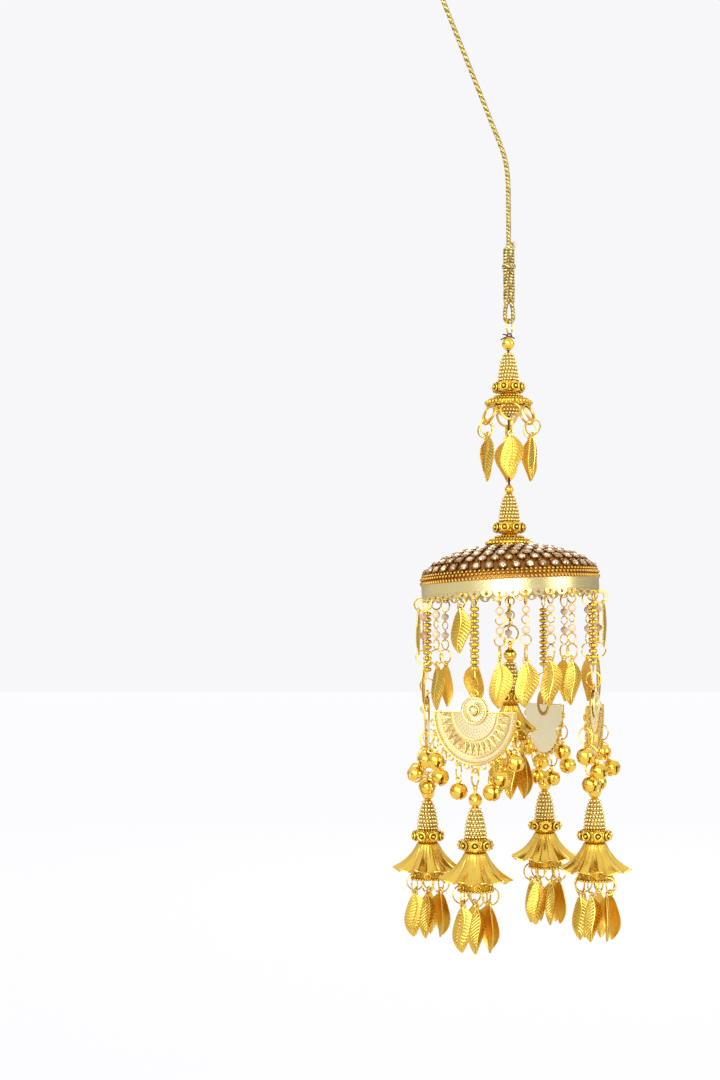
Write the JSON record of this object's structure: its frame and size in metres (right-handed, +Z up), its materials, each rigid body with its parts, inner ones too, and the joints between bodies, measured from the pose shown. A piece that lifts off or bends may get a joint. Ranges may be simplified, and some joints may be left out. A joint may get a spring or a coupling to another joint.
{
  "type": "kalire bridal ornament",
  "caption": "Hanging bridal ornament with a stone-set dome, pearl strings, embossed fans, bells and swinging drops on a gold cord.",
  "frame": {"origin": "the inside of the loop at the cord's top end, where it hangs", "axes": "+Z up along the hanging ornament, +X to the viewer's right, -Y towards the viewer"},
  "size_m": [0.091, 0.0945, 0.395],
  "materials": {
    "cord_gold": "braided metallic cord",
    "maroon_thread": "twisted thread",
    "bright_gold": "polished",
    "antique_gold": "antiqued",
    "leaf_gold": "embossed",
    "cup_gold": "satin",
    "dome_bronze": "antiqued",
    "pale_gold": "polished",
    "champagne_stone": "cut and foiled",
    "pearl": "pearlised"
  },
  "bodies": {
    "ornament": {"hang_loop": "cord_gold", "cord": "cord_gold", "cord_whipping": "cord_gold", "top_ring": "bright_gold", "string_thread": "maroon_thread", "top_ball": "bright_gold", "upper_cone": "antique_gold", "upper_spacer": "antique_gold", "upper_cap": "antique_gold", "upper_charms": "leaf_gold", "middle_ball": "bright_gold", "lower_cone": "antique_gold", "lower_spacer": "antique_gold", "dome_cap": "antique_gold", "dome_shell": "dome_bronze", "dome_stones": "champagne_stone", "rim_band": "pale_gold", "pearl_strings": "pearl", "rim_leaves": "leaf_gold", "fan_strands": "antique_gold", "fan_front": "antique_gold", "fan_right": "antique_gold", "fan_back": "antique_gold", "fan_left": "antique_gold", "fan_bells": "bright_gold", "centre_chain": "bright_gold"},
    "front_drop": {"front_drop_pin": "bright_gold", "front_drop_ball": "bright_gold", "front_drop_cone": "antique_gold", "front_drop_spacer": "antique_gold", "front_drop_cup": "cup_gold", "front_drop_charms": "leaf_gold"},
    "right_drop": {"right_drop_pin": "bright_gold", "right_drop_ball": "bright_gold", "right_drop_cone": "antique_gold", "right_drop_spacer": "antique_gold", "right_drop_cup": "cup_gold", "right_drop_charms": "leaf_gold"},
    "back_drop": {"back_drop_pin": "bright_gold", "back_drop_ball": "bright_gold", "back_drop_cone": "antique_gold", "back_drop_spacer": "antique_gold", "back_drop_cup": "cup_gold", "back_drop_charms": "leaf_gold"},
    "left_drop": {"left_drop_pin": "bright_gold", "left_drop_ball": "bright_gold", "left_drop_cone": "antique_gold", "left_drop_spacer": "antique_gold", "left_drop_cup": "cup_gold", "left_drop_charms": "leaf_gold"},
    "centre_drop": {"centre_drop_pin": "bright_gold", "centre_drop_ball": "bright_gold", "centre_drop_cone": "antique_gold", "centre_drop_spacer": "antique_gold", "centre_drop_cup": "cup_gold", "centre_drop_charms": "leaf_gold"}
  },
  "joints": [
    {"name": "front_drop_swing", "type": "hinge", "parent": "ornament", "child": "front_drop", "pos_m": [0.01465, -0.0308, -0.32334], "axis": [-0.8829, 0.4695, 0], "range_deg": [-12, 35]},
    {"name": "right_drop_swing", "type": "hinge", "parent": "ornament", "child": "right_drop", "pos_m": [0.06182, -0.01641, -0.3212], "axis": [-0.3256, -0.9455, 0], "range_deg": [-12, 35]},
    {"name": "back_drop_swing", "type": "hinge", "parent": "ornament", "child": "back_drop", "pos_m": [0.04744, 0.0308, -0.32185], "axis": [0.342, -0.9397, 0], "range_deg": [-12, 35]},
    {"name": "left_drop_swing", "type": "hinge", "parent": "ornament", "child": "left_drop", "pos_m": [-0.00174, 0.01186, -0.32408], "axis": [0.0698, 0.9976, 0], "range_deg": [-12, 35]},
    {"name": "centre_drop_swing", "type": "hinge", "parent": "ornament", "child": "centre_drop", "pos_m": [0.0308, 0, -0.2683], "axis": [0, -1, 0], "range_deg": [-12, 12]}
  ]
}
